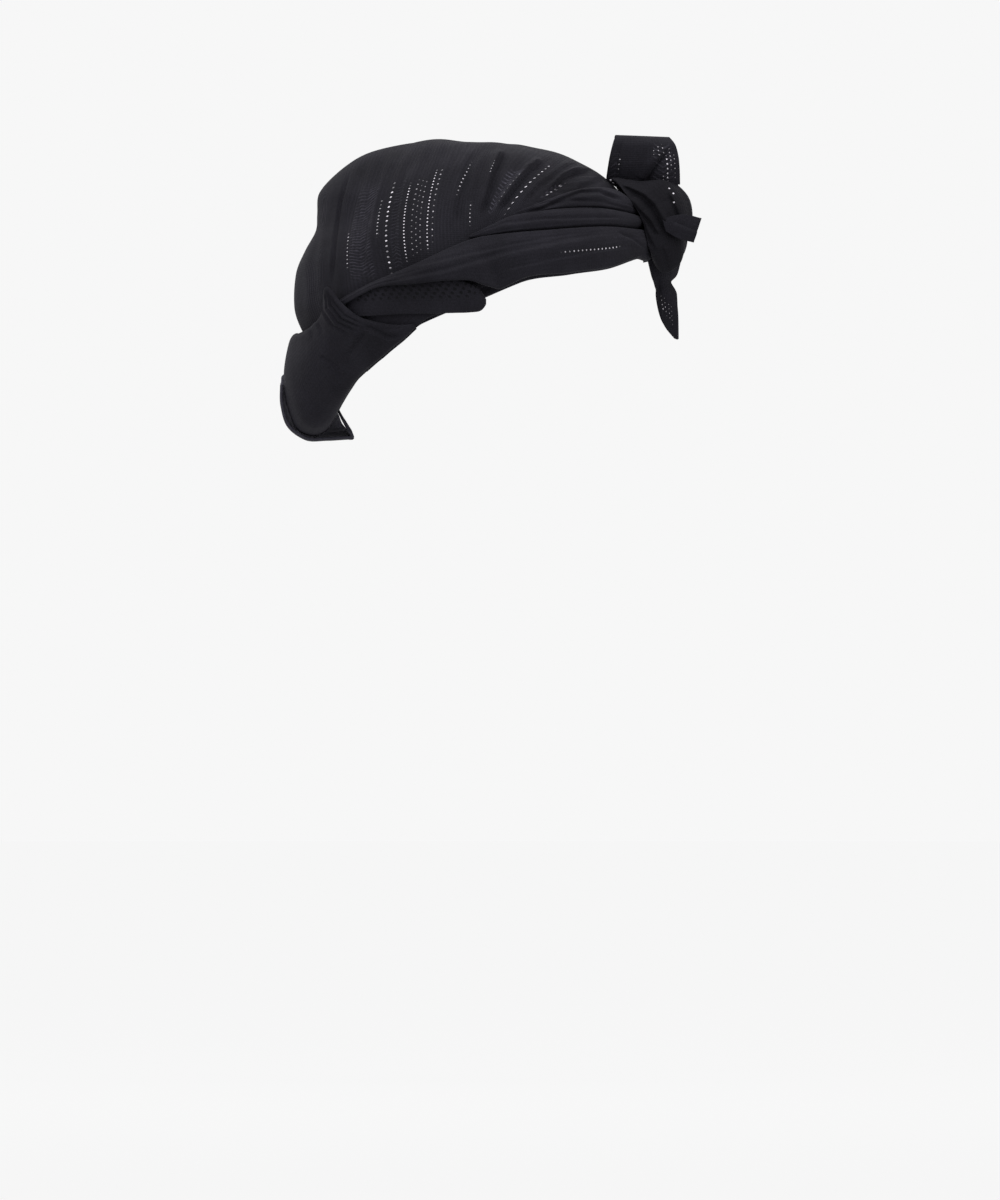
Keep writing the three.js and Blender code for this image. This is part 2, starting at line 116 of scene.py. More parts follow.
def nearLine(spots, line):
    # distance from each spot to a bent line, left of it negative, and how far along it is, from 0 to 1
    forward, height = -spots[:, 1], spots[:, 2]
    line = np.array(line, float)
    lengths = np.hypot(*(line[1:] - line[:-1]).T)
    nearest, side, place = np.full(forward.shape, np.inf), np.zeros_like(forward), np.zeros_like(forward)
    done = 0.0
    for start, end, length in zip(line[:-1], line[1:], lengths):
        run = (end - start) / length
        dx, dz = forward - start[0], height - start[1]
        t = np.clip((dx * run[0] + dz * run[1]) / length, 0, 1)
        away = np.hypot(dx - t * length * run[0], dz - t * length * run[1])
        near = away < nearest
        nearest = np.where(near, away, nearest)
        side = np.where(near, np.where(run[1] * dx - run[0] * dz >= 0, away, -away), side)
        place = np.where(near, (done + t * length) / lengths.sum(), place)
        done += length
    return side, place


# what a crease has where its row doesn't say: heights and widths in mm, starts and ends as shares of it
plainCrease = {"lift": 0, "liftWidth": 4.0, "dip": 0, "width": 1.6, "edge": 0.55, "starts": 0.12, "ends": 0.2}


def creases(spots, rows):
    # the cloth laps over on the right of each line, dips on its left, and both fade at its ends
    lift = np.zeros(len(spots))
    for row in rows:
        row = plainCrease | row
        side, place = nearLine(spots, row["line"])
        fade = soften(place, -0.001, row["starts"]) * soften(1 - place, -0.001, row["ends"])
        lapped = 0.5 * (1 + np.tanh(side / row["edge"]))
        high = row["lift"] * np.exp(-(side / row["liftWidth"]) ** 2)
        low = row["dip"] * np.exp(-(side / row["width"]) ** 2)
        lift += fade * (lapped * high - (1 - lapped) * low)
    return lift


def wrinkles(spots, size, strength, seed, stretch=(1, 1, 1)):
    # uneven cloth: smooth noise, longer along the axes that stretch names
    shift = Vector((seed * 7.31, seed * 3.77, seed * 5.13))  # each seed reads another part of the noise
    scaled = spots / (size * np.array(stretch, float))
    return strength * np.array([noise.noise(Vector(spot) + shift) for spot in scaled.tolist()])


def clothGrid(name, grid, place, mapping, material, fillEnds=False):
    # a flat grid whose points are carried to their place; the uv map holds millimetres of cloth
    mesh = bmesh.new()
    bmesh.ops.create_grid(mesh, x_segments=grid[0], y_segments=grid[1], size=0.5)
    mesh.verts.ensure_lookup_table()
    spots = np.array([vert.co[:2] for vert in mesh.verts]) + 0.5
    placed, cloth = place(spots[:, 0], spots[:, 1]), mapping(spots[:, 0], spots[:, 1])
    layer = mesh.loops.layers.uv.new("cloth")
    for face in mesh.faces:
        face.smooth = True
        for loop in face.loops:
            loop[layer].uv = cloth[loop.vert.index]
    for vert, spot in zip(mesh.verts, (placed * toMetres).tolist()):
        vert.co = spot
    bmesh.ops.remove_doubles(mesh, verts=mesh.verts, dist=weldWithin)
    bmesh.ops.dissolve_degenerate(mesh, edges=mesh.edges, dist=sliverWithin)
    if fillEnds:
        openEdges = [edge for edge in mesh.edges if edge.is_boundary]
        for face in bmesh.ops.holes_fill(mesh, edges=openEdges, sides=0)["faces"]:
            for loop in face.loops:
                loop[layer].uv = loop.vert.link_loops[0][layer].uv
    bmesh.ops.recalc_face_normals(mesh, faces=mesh.faces)
    data = bpy.data.meshes.new(name)
    mesh.to_mesh(data)
    mesh.free()
    data.materials.append(material)
    piece = bpy.data.objects.new(name, data)
    bpy.context.scene.collection.objects.link(piece)
    return piece


def addWall(piece, thickness, centre, offset, inside=0, rim=0):
    # an open sheet is turned to face away from its centre before it gets its thickness; inside and rim
    # say which of its materials the inner face and the edge take
    data = piece.data
    if sum((face.center - Vector(centre)).dot(face.normal) * face.area for face in data.polygons) < 0:
        data.flip_normals()
    sheet = piece.modifiers.new("wall", "SOLIDIFY")
    sheet.thickness, sheet.offset, sheet.use_even_offset = thickness * toMetres, offset, False
    sheet.material_offset, sheet.material_offset_rim = inside, rim


def declare(piece, cloth):
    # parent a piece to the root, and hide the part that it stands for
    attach(piece, "root")
    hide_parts(cloth["node"])
    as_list(cloth["rests"])
    print(cloth["node"], "made")


def hexColour(text):
    parts = [int(text[k:k + 2], 16) / 255 for k in (1, 3, 5)]
    return tuple(c / 12.92 if c <= 0.04045 else ((c + 0.055) / 1.055) ** 2.4 for c in parts) + (1.0,)


def addNode(tree, kind, settings=None, sockets=(), out=0):
    # a plain value is set on its socket, and another node's output is linked to it
    node = tree.nodes.new(kind)
    for name, value in (settings or {}).items():
        setattr(node, name, value)
    for slot, value in sockets.items() if isinstance(sockets, dict) else enumerate(sockets):
        if isinstance(value, bpy.types.NodeSocket):
            tree.links.new(value, node.inputs[slot])
        else:
            node.inputs[slot].default_value = value
    return node.outputs[out] if len(node.outputs) else node


# Fine jersey of cotton and polyamide, knitted and dyed black: matt and faintly violet, with a slight
# bloom of loose fibre at grazing angles. Its real ribs are about 1 mm apart and too fine to show, so
# they are drawn 1.9 mm apart, and its courses 1.15 mm apart.
# the darkest colour here is painted shade for the grooves between ribs and for the holes, and the lightest is
# painted light seen through the eyelets
knit = {"shade": "#111015", "lit": "#1d1c22", "groove": "#070709", "dash": "#4d4b55", "paintedEyeletLight": "#d2ced6",
        "rib": 1.9, "course": 1.15, "relief": 0.32, "roughness": 0.86, "specular": 0.12,
        "sheen": 0.05, "sheenTint": "#8d8a98",
        "ior": 1.47,  # typical for cotton and polyamide fibre
        "fuzzScale": 900.0, "unevenScale": 34.0, "stitchScale": 260.0}
knotShadedYarn = knit | {"shade": "#0b0a0e", "lit": "#141318"}  # darker for the knot: painted shade of its deep folds
rimHighlitYarn = knit | {"shade": "#2a2930", "lit": "#3b3a43"}  # lighter for the flap's edge: a painted highlight along it
insideLitYarn = knit | {"shade": "#56555e", "lit": "#6b6a74"}  # lighter still for the flap's inner face: painted light, as that face lies in deep shade

# Lace: columns of eyelets run down the cloth, each at its place u across it and over a stretch from and
# to down it, in millimetres, with a dark ring of painted shade round a whitish core of painted light,
# standing for the light seen through the hole. Between some of them slanted stitches make herringbone strips.
crownEyelets = table(
    "u spacing radius from to shift pale",
    (-69.6, 3.4, 0.48, 82, 113, 0.0, 0.85),
    (-54.0, 2.9, 0.42, 66, 94, 0.0, 0.65),
    (-49.3, 3.7, 0.62, 57, 119, 0.0, 1.0),
    (-40.1, 2.15, 0.41, 62, 112, 0.0, 1.0),
    (-36.5, 3.7, 0.44, 60, 108, 1.0, 0.45),
    (-34.2, 3.7, 0.40, 60, 108, 2.8, 0.40),
    (-31.9, 3.7, 0.44, 62, 106, 1.0, 0.45),
    (-28.3, 2.3, 0.42, 54, 105, 0.0, 1.0),
    (-25.4, 3.7, 0.46, 54, 101, 1.5, 0.60),
    (-14.0, 3.0, 0.44, 49, 74, 0.0, 0.75),
    (-4.3, 2.4, 0.38, 80, 93, 0.0, 0.65),
    (3.0, 2.3, 0.34, 50, 61, 0.0, 0.45),
    (17.2, 3.0, 0.38, 62, 86, 0.0, 0.50),
    (28.5, 4.6, 0.66, 50, 99, 0.0, 1.0),
    (55.4, 6.2, 1.00, 86, 106, 0.0, 0.95),
    (58.8, 6.2, 0.80, 84, 98, 3.1, 0.80),
)
crownStitches = table(
    "u halfWidth from to period slant strength",
    (-62.5, 5.8, 50, 122, 2.4, 0.55, 0.28),
    (-45.0, 2.4, 56, 118, 2.4, -0.5, 0.16),
    (14.0, 3.4, 58, 90, 2.6, 0.9, 0.46),
    (54.0, 4.0, 84, 108, 6.0, 0.8, 0.24),
)
bandEyelets = table(
    "u spacing radius from to shift pale",
    (0.0, 2.5, 0.44, 49, 83, 0.0, 1.0),
)
knotEyelets = table(
    "u spacing radius from to shift pale",
    (-0.4, 2.6, 0.38, 12.2, 13.8, 0.0, 1.0),
    (-3.0, 2.6, 0.38, 12.2, 13.8, 0.0, 1.0),
    (-6.4, 2.6, 0.36, 13.8, 15.4, 1.0, 1.0),
)
bowEyelets = table(
    "u spacing radius from to shift pale",
    (2.2, 2.0, 0.56, 3, 7, 0.0, 1.0),
    (4.1, 2.0, 0.56, 1, 5, 1.0, 1.0),
    (6.2, 2.4, 0.36, 7, 18, 0.0, 0.60),
    (31.6, 2.3, 0.44, 5, 18, 0.0, 1.0),
    (29.4, 2.1, 0.40, 4, 8, 0.5, 0.80),
    (29.6, 2.3, 0.40, 19, 25, 0.0, 0.90),
    (27.2, 2.2, 0.34, 18, 24, 0.6, 0.55),
    (24.5, 2.4, 0.32, 19, 22, 0.2, 0.45),
    (33.6, 2.4, 0.36, 11, 23, 1.1, 0.60),
    (35.6, 2.4, 0.34, 7, 19, 0.4, 0.45),
)
bowStitches = table(
    "u halfWidth from to period slant strength",
    (3.8, 2.6, 5, 20, 2.6, 0.8, 0.12),
    (29.5, 5.5, 5, 25, 2.6, -0.6, 0.16),
)
tailEyelets = table(
    "u spacing radius from to shift pale",
    (6.5, 2.3, 0.46, 21, 29, 0.0, 1.0),
    (9.0, 2.3, 0.38, 22, 31, 1.0, 0.75),
    (12.5, 2.3, 0.34, 25, 34, 0.0, 0.50),
    (15.0, 2.3, 0.32, 26, 36, 1.0, 0.40),
)


def knitMaterial(name, ribs, eyelets=None, stitches=None, lattice=None, yarn=knit):
    # ribs is how strongly they show, and lattice the spacing of small holes, painted dark as shade; a colour
    # mix has its factor in socket 0, its colours in 6 and 7, and its result in output 2
    material = bpy.data.materials.new(name)
    material.use_nodes = True
    tree = material.node_tree
    tree.nodes.clear()
    maths, ranged, mixed = "ShaderNodeMath", "ShaderNodeMapRange", "ShaderNodeMix"
    times, plus, minus = {"operation": "MULTIPLY"}, {"operation": "ADD"}, {"operation": "SUBTRACT"}
    larger, swing, size = {"operation": "MAXIMUM"}, {"operation": "PINGPONG"}, {"operation": "ABSOLUTE"}
    smooth, colours = {"interpolation_type": "SMOOTHSTEP"}, {"data_type": "RGBA"}

    cloth = addNode(tree, "ShaderNodeUVMap", {"uv_map": "cloth"})
    split = addNode(tree, "ShaderNodeSeparateXYZ", {}, [cloth]).node
    u, v = split.outputs["X"], split.outputs["Y"]  # millimetres across and down the cloth
    body = addNode(tree, "ShaderNodeTexCoord", out="Object")
    noiseNode = "ShaderNodeTexNoise"
    fuzz = addNode(tree, noiseNode, {}, {"Vector": body, "Scale": yarn["fuzzScale"], "Detail": 2.0})
    uneven = addNode(tree, noiseNode, {}, {"Vector": body, "Scale": yarn["unevenScale"], "Detail": 3.0})

    ribTurns = addNode(tree, maths, times, [u, 2 * math.pi / yarn["rib"]])
    courseTurns = addNode(tree, maths, times, [v, 2 * math.pi / yarn["course"]])
    rib = addNode(tree, maths, {"operation": "SINE"}, [ribTurns])
    course = addNode(tree, maths, {"operation": "SINE"}, [courseTurns])
    patchy = addNode(tree, ranged, {}, [uneven, 0.35, 0.65, 0.35, 1.0])  # ribs show in some places more
    rib = addNode(tree, maths, times, [rib, patchy])
    ribHeight = addNode(tree, maths, times, [rib, ribs])
    height = addNode(tree, maths, {"operation": "MULTIPLY_ADD"}, [course, 0.16, ribHeight])
    height = addNode(tree, maths, {"operation": "MULTIPLY_ADD"}, [fuzz, 0.6, height])

    speckle = addNode(tree, maths, {"operation": "MULTIPLY_ADD"}, [fuzz, 0.5, uneven])
    tone = addNode(tree, ranged, {}, [speckle, 0.52, 0.98])
    held = addNode(tree, noiseNode, {}, {"Vector": body, "Scale": yarn["stitchScale"], "Detail": 1.0})
    pulled = addNode(tree, ranged, smooth, [held, 0.33, 0.6, 0.3, 1.0])  # some stitches open wider
    sway = addNode(tree, maths, {"operation": "MULTIPLY_ADD"}, [held, 2.6, v])
    darkest, lightest = hexColour(yarn["shade"]), hexColour(yarn["lit"])
    colour = addNode(tree, mixed, colours, {0: tone, 6: darkest, 7: lightest}, 2)
    # painted shade in the grooves between the ribs
    between = addNode(tree, ranged, {}, [rib, -1.0, 1.0, 0.55 * ribs, 0.0])
    colour = addNode(tree, mixed, colours, {0: between, 6: colour, 7: hexColour(yarn["groove"])}, 2)

    for strip in rowsOf(stitches) if stitches else []:
        middle, half = (strip["from"] + strip["to"]) / 2, (strip["to"] - strip["from"]) / 2
        across = addNode(tree, maths, size, [addNode(tree, maths, minus, [u, strip["u"]])])
        down = addNode(tree, maths, size, [addNode(tree, maths, minus, [v, middle])])
        slid = addNode(tree, maths, {"operation": "MULTIPLY_ADD"}, [across, strip["slant"], sway])
        turns = addNode(tree, maths, times, [slid, 2 * math.pi / strip["period"]])
        stroke = addNode(tree, maths, {"operation": "SINE"}, [turns])
        stroke = addNode(tree, ranged, smooth, [stroke, 0.0, 0.9])
        beside = addNode(tree, ranged, smooth, [across, strip["halfWidth"] + 0.4, strip["halfWidth"] - 0.8])
        within = addNode(tree, ranged, smooth, [down, half * 1.15, half * 0.85])
        shown = addNode(tree, maths, times, [stroke, addNode(tree, maths, times, [beside, within])])
        shown = addNode(tree, maths, times, [shown, pulled])
        height = addNode(tree, maths, {"operation": "MULTIPLY_ADD"}, [shown, 1.2, height])
        strength = addNode(tree, maths, times, [shown, strip["strength"]])
        colour = addNode(tree, mixed, colours, {0: strength, 6: colour, 7: hexColour(yarn["dash"])}, 2)

    hole, pale = None, None
    for column in rowsOf(eyelets) if eyelets else []:
        middle, half = (column["from"] + column["to"]) / 2, (column["to"] - column["from"]) / 2
        across = addNode(tree, maths, minus, [u, column["u"]])
        shifted = addNode(tree, maths, plus, [v, column["shift"]])
        between = addNode(tree, maths, swing, [shifted, column["spacing"] / 2])
        apart = addNode(tree, "ShaderNodeCombineXYZ", {}, [across, between])
        away = addNode(tree, "ShaderNodeVectorMath", {"operation": "LENGTH"}, [apart], "Value")
        down = addNode(tree, maths, size, [addNode(tree, maths, minus, [v, middle])])
        within = addNode(tree, ranged, smooth, [down, half * 1.15, half * 0.85])
        rim = addNode(tree, ranged, smooth, [away, column["radius"] * 2.0, column["radius"] * 0.9])
        core = addNode(tree, ranged, smooth, [away, column["radius"] * 1.15, column["radius"] * 0.5])
        rim = addNode(tree, maths, times, [rim, within])
        core = addNode(tree, maths, times, [core, addNode(tree, maths, times, [within, column["pale"]])])
        core = addNode(tree, maths, times, [core, pulled])
        hole = rim if hole is None else addNode(tree, maths, larger, [hole, rim])
        pale = core if pale is None else addNode(tree, maths, larger, [pale, core])
    if lattice:
        rising = addNode(tree, maths, swing, [addNode(tree, maths, plus, [u, v]), lattice])
        falling = addNode(tree, maths, swing, [addNode(tree, maths, minus, [u, v]), lattice])
        apart = addNode(tree, "ShaderNodeCombineXYZ", {}, [rising, falling])
        away = addNode(tree, "ShaderNodeVectorMath", {"operation": "LENGTH"}, [apart], "Value")
        upper = addNode(tree, ranged, smooth, [u, 6.0, 10.0])  # the lower edge is plain
        hole = addNode(tree, maths, times, [addNode(tree, ranged, smooth, [away, 1.5, 0.7]), upper])
    if hole is not None:
        height = addNode(tree, maths, {"operation": "MULTIPLY_ADD"}, [hole, -2.4, height])
        # the holes are painted dark: painted shade for the shadow seen through them
        holeShade = addNode(tree, maths, times, [hole, 0.8])
        colour = addNode(tree, mixed, colours, {0: holeShade, 6: colour, 7: hexColour(yarn["groove"])}, 2)
    # a whitish core of painted light, standing for the light seen through each hole
    if pale is not None:
        colour = addNode(tree, mixed, colours, {0: pale, 6: colour, 7: hexColour(yarn["paintedEyeletLight"])}, 2)

    relief = {"Height": height, "Strength": 0.6, "Distance": yarn["relief"] * toMetres}
    raised = addNode(tree, "ShaderNodeBump", {}, relief)
    surface = addNode(tree, "ShaderNodeBsdfPrincipled", {}, {
        "Base Color": colour, "Normal": raised, "Roughness": yarn["roughness"],
        "IOR": yarn["ior"],
        "Specular IOR Level": yarn["specular"], "Sheen Weight": yarn["sheen"], "Sheen Roughness": 0.45,
        "Sheen Tint": hexColour(yarn["sheenTint"])})
    addNode(tree, "ShaderNodeOutputMaterial", {}, {"Surface": surface})
    return material


laceJersey = knitMaterial("lace_jersey", 0.52, crownEyelets, crownStitches)
plainJersey = knitMaterial("plain_jersey", 0.16)
bandJersey = knitMaterial("band_jersey", 0.16, bandEyelets)
# the knot's copy is darkened with painted shade
knotShadedJersey = knitMaterial("knot_jersey_painted_shade", 0.16, knotEyelets, yarn=knotShadedYarn)
# the flap's edge gets a lighter copy, a painted highlight
rimHighlitJersey = knitMaterial("rim_jersey_painted_highlight", 0.16, yarn=rimHighlitYarn)
# the flap's inner face gets a lighter copy, painted light against its deep shade
insideLitJersey = knitMaterial("inside_jersey_painted_light", 0.16, yarn=insideLitYarn)
bowJersey = knitMaterial("bow_jersey", 0.3, bowEyelets, bowStitches)
tailJersey = knitMaterial("tail_jersey", 0.25, tailEyelets)
latticeJersey = knitMaterial("lattice_jersey", 0.16, lattice=2.2)
print("materials made")

# The crown's pleats fan out: where each foot stands in the side view, how its line leans and bends as
# it rises, and which line of the cloth runs along it.
fan = table(
    "foot footZ lean bend cloth",
    (-110, -72, -0.06, 0.0030, -112), (-78, -70, -0.087, 0.0042, -78), (-48, -65, -0.237, 0.0063, -50),
    (-38.5, -61, -0.19, 0.0059, -40), (-27.6, -55, -0.092, 0.0047, -28), (-12.5, -46, -0.085, 0.0085, -11.5),
    (0, -35, 0.14, 0.006, 4), (7.3, -35.5, 0.42, 0.0165, 19.6), (13, -34, 0.6, 0.014, 28),
    (33, -25.5, 1.1, 0.03, 52), (60, -15, 1.4, 0.03, 85), (90, -8, 1.5, 0.03, 120),
)
crown = {
    "name": "crown_cloth", "node": "crown", "slot": "lace_knit", "grid": (480, 100),
    "flat": (0.25, 0.20), "held": "stretched", "rests": [],
    "lowEdge": table("turn rise", (0, -7), (60, -2), (100, 2), (150, -6), (180, -10), (210, -6), (260, 2),
                     (300, -2), (360, -7)),
    "flute": {"depth": 0.3, "apart": 8.5}, "uneven": {"size": 20, "depth": 0.9},
    # the pleats set in over this distance from the middle plane, and what stands out over these degrees of
    # rise, as the tie presses the cloth smooth under it
    "overTop": (4, 34), "aboveTie": (2, 20),
    # the lace is measured on a crest of this radius, and from backStart to backEnd behind the middle of the
    # head it goes over to millimetres for each degree round the back
    "crestRadius": 82, "backStart": 70, "backEnd": 84, "perTurn": 1.55, "perRise": 1.6, "backCloth": 112,
    "pleats": [
        {"line": [(-69, -13), (-73.8, -27), (-76.6, -48), (-78, -74)],
         "dip": 1.7, "width": 1.0, "lift": 0.9, "edge": 0.4},
        {"line": [(-61, -66), (-58.5, -44), (-55, -24), (-50, -9)], "dip": 0.8, "width": 2.0, "lift": 0.6},
        {"line": [(-46, -64), (-45, -44), (-42.5, -26), (-38, -9)], "dip": 0.9, "width": 2.0, "lift": 0.7},
        {"line": [(-22.5, -50), (-21.5, -34), (-18, -17), (-12, -4)], "dip": 0.8, "width": 2.4, "lift": 0.7},
        {"line": [(-3.1, -1.2), (-8.3, -10.5), (-12.5, -28.2), (-14.6, -44)],
         "dip": 1.9, "width": 3.2, "lift": 0.9, "liftWidth": 5, "edge": 1.2},
        {"line": [(11.4, -2.7), (6.2, -13.6), (3.6, -24), (-0.5, -37)],
         "dip": 2.3, "width": 2.6, "lift": 2.1, "liftWidth": 2.6, "edge": 0.45},
        {"line": [(32, -7.5), (24.5, -12.5), (16.5, -22.5), (8, -34.5)],
         "dip": 2.6, "width": 2.9, "lift": 2.4, "liftWidth": 2.6, "edge": 0.45},
        {"line": [(50, -8), (40, -13), (29, -21), (20, -31)], "dip": 1.0, "width": 2.2, "lift": 0.9},
        {"line": [(62, -11), (52, -13), (42.5, -16), (33, -26)],
         "dip": 2.4, "width": 2.9, "lift": 2.2, "liftWidth": 2.4, "edge": 0.45},
        {"line": [(74, -17), (64, -16), (54, -20), (46, -25)], "dip": 1.0, "width": 2.0, "lift": 0.9},
    ],
}


def fanCloth(spots):
    # the line of cloth through each spot: the foot whose pleat passes through it is closed in on
    forward, height = -spots[:, 1], spots[:, 2]
    low, high = np.full(len(spots), fan["foot"][0]), np.full(len(spots), fan["foot"][-1])
    for _ in range(26):  # halvings
        foot = 0.5 * (low + high)
        up = height - along(fan, "foot", "footZ", foot)
        bend = along(fan, "foot", "bend", foot) * np.maximum(up, 0) ** 2
        line = foot + along(fan, "foot", "lean", foot) * up + bend
        low, high = np.where(line < forward, foot, low), np.where(line < forward, high, foot)
    return along(fan, "foot", "cloth", foot), along(fan, "foot", "lean", foot)


def crownPlaces(a, b):
    turn = 360 * a
    low = along(crown["lowEdge"], "turn", "rise", turn)
    return turn, low + (90 - low) * b


def placeCrown(a, b):
    turn, rise = crownPlaces(a, b)
    radius = crownRadius(turn, rise)
    spots = placeOnHead(turn, rise, radius)
    overTop = soften(np.abs(spots[:, 0]), *crown["overTop"])
    aboveTie = soften(rise, *crown["aboveTie"])
    pleats = creases(spots, crown["pleats"]) * overTop
    pleats = pleats * np.where(pleats > 0, aboveTie, 1)
    cloth, _ = fanCloth(spots)
    flute, uneven = crown["flute"], crown["uneven"]
    flutes = flute["depth"] * np.sin(cloth * 2 * math.pi / flute["apart"]) * overTop
    uneven = wrinkles(spots, uneven["size"], uneven["depth"], 1, (1, 1, 2.2))
    return placeOnHead(turn, rise, radius + pleats + (flutes + uneven) * aboveTie)


def mapCrown(a, b):
    turn, rise = crownPlaces(a, b)
    spots = placeOnHead(turn, rise, crownRadius(turn, rise))
    cloth, lean = fanCloth(spots)
    fromCrest = np.arctan2(np.abs(spots[:, 0]), spots[:, 2] - head["centreZ"]) * crown["crestRadius"]
    fromCrest = fromCrest * np.hypot(1, lean)
    behind = soften(spots[:, 1], crown["backStart"], crown["backEnd"])
    backAcross = np.abs(turn - 180) * crown["perTurn"] + crown["backCloth"]
    backDown = (90 - rise) * crown["perRise"]
    return np.stack([cloth * (1 - behind) - backAcross * behind,
                     fromCrest * (1 - behind) + backDown * behind], axis=-1)


crownCloth = clothGrid(crown["name"], crown["grid"], placeCrown, mapCrown, laceJersey)
addWall(crownCloth, wall["lace"], (0, 0, head["centreZ"] * toMetres), -1)
declare(crownCloth, crown)


def bothSides(half, middleTurn, leftSeat=math.inf):
    # rows for the wearer's right, repeated for the left, whose edge sits no further out than leftSeat
    keep = half["turn"] != middleTurn
    joined = {name: np.concatenate([column, column[keep]]) for name, column in half.items()}
    count = len(half["turn"])
    joined["turn"][count:] = 2 * middleTurn - joined["turn"][count:]
    joined["seatHigh"][count:] = np.minimum(joined["seatHigh"][count:], leftSeat)
    order = np.argsort(joined["turn"])
    return {name: column[order] for name, column in joined.items()}


def thicknessAcross(low, middle, high, s):
    rising, falling = 2 * (middle - low), 2 * (high - middle)
    tangent = evenSlope(rising, falling)
    return np.where(s < 0.5, hermite(low, middle, rising, tangent, 0.5, 2 * s),
                    hermite(middle, high, tangent, falling, 0.5, 2 * s - 1))


# Every layer's surface: outerShare of its columns of points are on the outer face, as the inner one is
# plain. Its relief calms where half of its thickness is under fullHalf, and towards its edges and ends.
# Its cloth is measured round the head at aroundRadius, and its inner face at plainAt, where no lace is.
layerSurface = {"outerShare": 0.7, "fullHalf": 0.8, "calmEdge": 0.35, "calmEnd": 0.03, "unevenSize": 14,
                "unevenDepth": 0.45, "deepest": 1.3, "highest": 3.0, "thinnest": 0.001,
                "foldSwing": 0.3, "foldRound": 0.65, "foldMean": 0.55,
                "plainAt": 300, "aroundRadius": 84}


def sectionOf(layer, a, b):
    # one spot of a layer: a runs out over its outer face and back along its inner one, b along it
    share = layerSurface["outerShare"]
    a = np.where(a < share, 0.5 * a / share, 0.5 + 0.5 * (a - share) / (1 - share))
    rows = layer["rows"]
    if layer.get("flanked"):  # more points where its two ends stand up as flanks
        b = (1 - np.cos(np.pi * b)) / 2
    turn = rows["turn"][0] + (rows["turn"][-1] - rows["turn"][0]) * b
    value = {name: along(rows, "turn", name, turn) for name in rows}
    s = (1 - np.cos(2 * np.pi * a)) / 2  # closer together at both rounded edges
    rise = value["low"] + s * (value["high"] - value["low"])
    radius = crownRadius(turn, rise)
    thick = thicknessAcross(value["thickLow"], value["thickMid"], value["thickHigh"], s)
    if "shape" in layer:
        thick = thick * along(layer["shape"], "s", "share", s)
    width = np.radians(value["high"] - value["low"]) * radius
    toEnd = np.clip(np.minimum(b, 1 - b) / layer.get("endSlope", 0.008), 0, 1)
    thick = thick * np.sqrt(1 - (1 - toEnd) ** 2)  # the ends slope down to the seat
    thick = np.maximum(thick, layerSurface["thinnest"])
    toEdge = np.clip(np.minimum(s, 1 - s) * width / (layer.get("rounding", 0.5) * thick), 0, 1)
    half = 0.5 * thick * np.sqrt(1 - (1 - toEdge) ** 2)
    seat = head["gap"] + value["seatLow"] + s * (value["seatHigh"] - value["seatLow"])
    return turn, rise, s, width, radius + seat + 0.5 * thick, half


def layOnHead(layer):
    # a roll or layer of cloth, closed round its own section, with its folds on the outer face
    def place(a, b):
        turn, rise, s, _, middle, half = sectionOf(layer, a, b)
        outer, side = a <= layerSurface["outerShare"], 360 - turn if layer.get("mirror") else turn
        spots = placeOnHead(side, rise, middle + np.where(outer, half, -half))
        calm = np.clip(half / layerSurface["fullHalf"], 0, 1)
        calm = calm * np.sin(np.pi * np.clip(s, 0.02, 0.98)) ** layerSurface["calmEdge"]
        calm = calm * soften(np.minimum(b, 1 - b), 0, layerSurface["calmEnd"])
        rough = wrinkles(spots, layerSurface["unevenSize"], layerSurface["unevenDepth"], layer["seed"])
        relief = creases(spots, layer.get("relief", [])) + rough
        gather = layer.get("gather")
        if gather:  # folds along the cloth, uneven and swaying
            swing = layerSurface["foldSwing"] * np.sin(b * gather["sway"] + layer["seed"])
            waved = s * gather["folds"] + swing
            ridge = np.abs(np.sin(np.pi * waved)) ** layerSurface["foldRound"] - layerSurface["foldMean"]
            patches = np.stack([b * gather["runs"], s * 2, np.zeros_like(b)], axis=-1)
            uneven = np.clip(0.7 + wrinkles(patches, 1, 1.0, layer["seed"]), 0.1, 1.6)
            relief += gather["depth"] * ridge * uneven
        relief = np.where(outer, relief * calm, 0)
        relief = np.clip(relief, -layerSurface["deepest"] * half, layerSurface["highest"])
        if layer.get("flanked"):  # its folds stand out sideways, from the flanks
            spots[:, 0] += np.sign(spots[:, 0]) * relief
            return spots
        return placeOnHead(side, rise, middle + np.where(outer, half, -half) + relief)

    def mapping(a, b):
        turn, _, s, width, _, _ = sectionOf(layer, a, b)
        inside = np.where(a <= layerSurface["outerShare"], 0, layerSurface["plainAt"])
        across = (s - layer.get("rowAt", 0)) * width + inside
        return np.stack([across, np.radians(turn) * layerSurface["aroundRadius"]], axis=-1)

    piece = clothGrid(layer["name"], layer["grid"], place, mapping, layer["cloth"], True)
    declare(piece, layer)


# a row for each section of a layer: its turn, the rise of its two edges, how far each of them is off the
# head, and its thickness at the low edge, in the middle and at the high edge
sections = "turn low high seatLow seatHigh thickLow thickMid thickHigh"

# The folds of the tie lie on the crown. A row of eyelets runs rowAt of the way across the lowest.

